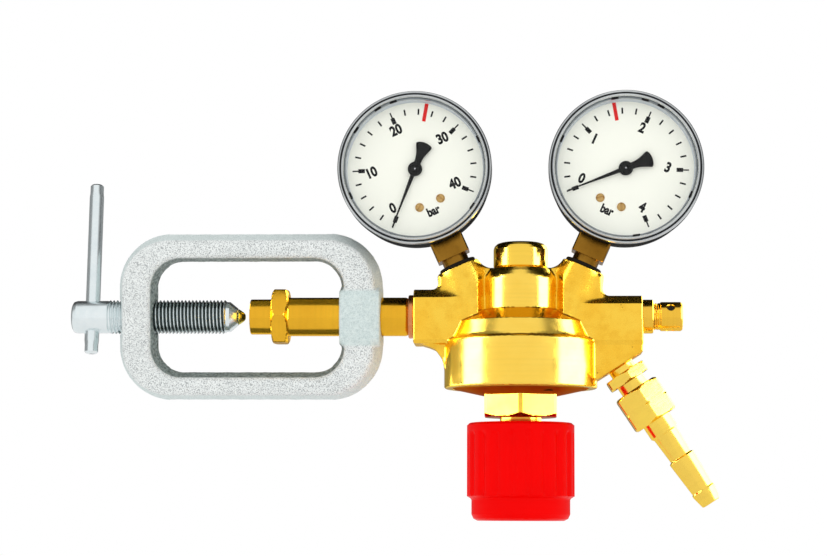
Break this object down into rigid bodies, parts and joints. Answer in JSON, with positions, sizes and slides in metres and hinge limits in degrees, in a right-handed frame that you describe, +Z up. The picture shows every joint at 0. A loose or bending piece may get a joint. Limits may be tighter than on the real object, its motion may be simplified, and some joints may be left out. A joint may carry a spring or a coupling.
{
  "type": "gas regulator",
  "caption": "Brass cylinder pressure regulator with a clamp yoke, contents and outlet gauges, adjusting knob, relief valve and barbed hose outlet.",
  "frame": {"origin": "centre of the inlet nose's end face", "axes": "+X along the inlet towards the regulator's body, +Z up with the gauges on top and the knob below, -Y towards the reader of the gauges"},
  "size_m": [0.2679, 0.063, 0.1757],
  "materials": {
    "bezel_steel": "polished stainless",
    "bright_steel": "turned",
    "bronze_tube": "drawn tube",
    "cast_yoke": "cast and galvanised",
    "dial_white": "satin white",
    "forged_brass": "forged and part machined",
    "gauge_brass": "machined, slightly dull",
    "gauge_case_black": "black enamel",
    "gauge_seal": "fibre",
    "knob_plastic": "moulded, glossy",
    "movement_brass": "stamped, bright",
    "pointer_black": "matt black",
    "ring_grey": "satin",
    "seal_copper": "soft annealed",
    "seal_rubber": "moulded",
    "seat_polymer": "machined",
    "sintered_bronze": "sintered",
    "spring_steel": "drawn wire",
    "turned_brass": "turned, bright",
    "window_clear": "clear, polished",
    "zinc_steel": "blue zinc plated"
  },
  "bodies": {
    "regulator": {"main_body": "forged_brass", "inlet_stem": "turned_brass", "inlet_gasket": "seal_rubber", "inlet_filter": "sintered_bronze", "inlet_seal_washer": "seal_copper", "valve_plug": "turned_brass", "bonnet": "turned_brass", "diaphragm": "seal_rubber", "slip_ring": "movement_brass", "main_spring": "spring_steel", "valve_seat": "seat_polymer", "valve_spring": "spring_steel", "relief_body": "turned_brass", "relief_cap": "turned_brass", "relief_spring": "spring_steel", "outlet_nipple": "turned_brass", "supply_case": "gauge_case_black", "supply_bezel": "bezel_steel", "supply_window": "window_clear", "supply_dial": "dial_white", "supply_dial_ring": "ring_grey", "supply_dial_screws": "movement_brass", "supply_socket": "gauge_brass", "supply_washer": "gauge_seal", "supply_movement": "movement_brass", "supply_bourdon_tube": "bronze_tube", "delivery_case": "gauge_case_black", "delivery_bezel": "bezel_steel", "delivery_window": "window_clear", "delivery_dial": "dial_white", "delivery_dial_ring": "ring_grey", "delivery_dial_screws": "movement_brass", "delivery_socket": "gauge_brass", "delivery_washer": "gauge_seal", "delivery_movement": "movement_brass", "delivery_bourdon_tube": "bronze_tube"},
    "yoke": {"yoke": "cast_yoke"},
    "clamp_tip": {"clamp_tip": "turned_brass"},
    "clamp_screw": {"clamp_screw": "zinc_steel"},
    "tommy_bar": {"tommy_bar": "zinc_steel"},
    "diaphragm_plate": {"diaphragm_plate": "bright_steel"},
    "valve_poppet": {"valve_poppet": "bright_steel"},
    "spring_button": {"spring_button": "bright_steel"},
    "knob": {"knob": "knob_plastic", "adjusting_spindle": "zinc_steel"},
    "relief_poppet": {"relief_poppet": "bright_steel"},
    "hose_barb": {"hose_barb": "turned_brass"},
    "union_nut": {"union_nut": "turned_brass"},
    "supply_pointer": {"supply_pointer": "pointer_black", "supply_pinion": "movement_brass"},
    "supply_sector": {"supply_sector": "movement_brass", "supply_link": "movement_brass"},
    "delivery_pointer": {"delivery_pointer": "pointer_black", "delivery_pinion": "movement_brass"},
    "delivery_sector": {"delivery_sector": "movement_brass", "delivery_link": "movement_brass"}
  },
  "joints": [
    {"name": "yoke_slide", "type": "slide", "parent": "regulator", "child": "yoke", "axis": [1, 0, 0], "range_m": [-0.02, 0.002]},
    {"name": "clamp_feed", "type": "slide", "parent": "yoke", "child": "clamp_tip", "axis": [1, 0, 0], "range_m": [-0.03, 0]},
    {"name": "clamp_turn", "type": "hinge", "parent": "clamp_tip", "child": "clamp_screw", "pos_m": [0, 0, 0], "axis": [1, 0, 0], "range_deg": [-7200, 0]},
    {"name": "bar_slide", "type": "slide", "parent": "clamp_screw", "child": "tommy_bar", "axis": [0, 0.1045, 0.9945], "range_m": [-0.045, 0.004]},
    {"name": "diaphragm_lift", "type": "slide", "parent": "regulator", "child": "diaphragm_plate", "axis": [0, 0, 1], "range_m": [0, 0.001], "deforming": ["diaphragm"]},
    {"name": "poppet_lift", "type": "slide", "parent": "regulator", "child": "valve_poppet", "axis": [0, 0, 1], "range_m": [0, 0.001], "deforming": ["valve_spring"]},
    {"name": "button_feed", "type": "slide", "parent": "regulator", "child": "spring_button", "axis": [0, 0, 1], "range_m": [0, 0.0075], "deforming": ["main_spring"]},
    {"name": "knob_turn", "type": "hinge", "parent": "spring_button", "child": "knob", "pos_m": [0.112, 0, -0.06], "axis": [0, 0, 1], "range_deg": [0, 1800]},
    {"name": "relief_lift", "type": "slide", "parent": "regulator", "child": "relief_poppet", "axis": [1, 0, 0], "range_m": [0, 0.0015], "deforming": ["relief_spring"]},
    {"name": "union_feed", "type": "slide", "parent": "regulator", "child": "hose_barb", "axis": [0.5519, 0, -0.8339], "range_m": [0, 0.0105]},
    {"name": "union_turn", "type": "hinge", "parent": "hose_barb", "child": "union_nut", "pos_m": [0.1532, 0, -0.0209], "axis": [0.5519, 0, -0.8339], "range_deg": [0, 2520]},
    {"name": "supply_needle", "type": "hinge", "parent": "regulator", "child": "supply_pointer", "pos_m": [0.0687, -0.013, 0.06], "axis": [0, 1, 0], "range_deg": [0, 270], "deforming": ["supply_bourdon_tube"]},
    {"name": "supply_sector_turn", "type": "hinge", "parent": "regulator", "child": "supply_sector", "pos_m": [0.07841, -0.003, 0.05295], "axis": [0, 1, 0], "range_deg": [-30, 0]},
    {"name": "delivery_needle", "type": "hinge", "parent": "regulator", "child": "delivery_pointer", "pos_m": [0.1553, -0.013, 0.06], "axis": [0, 1, 0], "range_deg": [0, 270], "deforming": ["delivery_bourdon_tube"]},
    {"name": "delivery_sector_turn", "type": "hinge", "parent": "regulator", "child": "delivery_sector", "pos_m": [0.15655, -0.003, 0.04807], "axis": [0, 1, 0], "range_deg": [-30, 0]}
  ],
  "couplings": [
    {"joint": "clamp_feed", "follows": "clamp_turn", "m_per_rad": 0.00023873},
    {"joint": "poppet_lift", "follows": "diaphragm_lift", "ratio": 1},
    {"joint": "button_feed", "follows": "knob_turn", "m_per_rad": 0.00023873},
    {"joint": "union_turn", "follows": "union_feed", "rad_per_m": 4188.8},
    {"joint": "supply_sector_turn", "follows": "supply_needle", "ratio": -0.11111},
    {"joint": "delivery_sector_turn", "follows": "delivery_needle", "ratio": -0.11111}
  ]
}
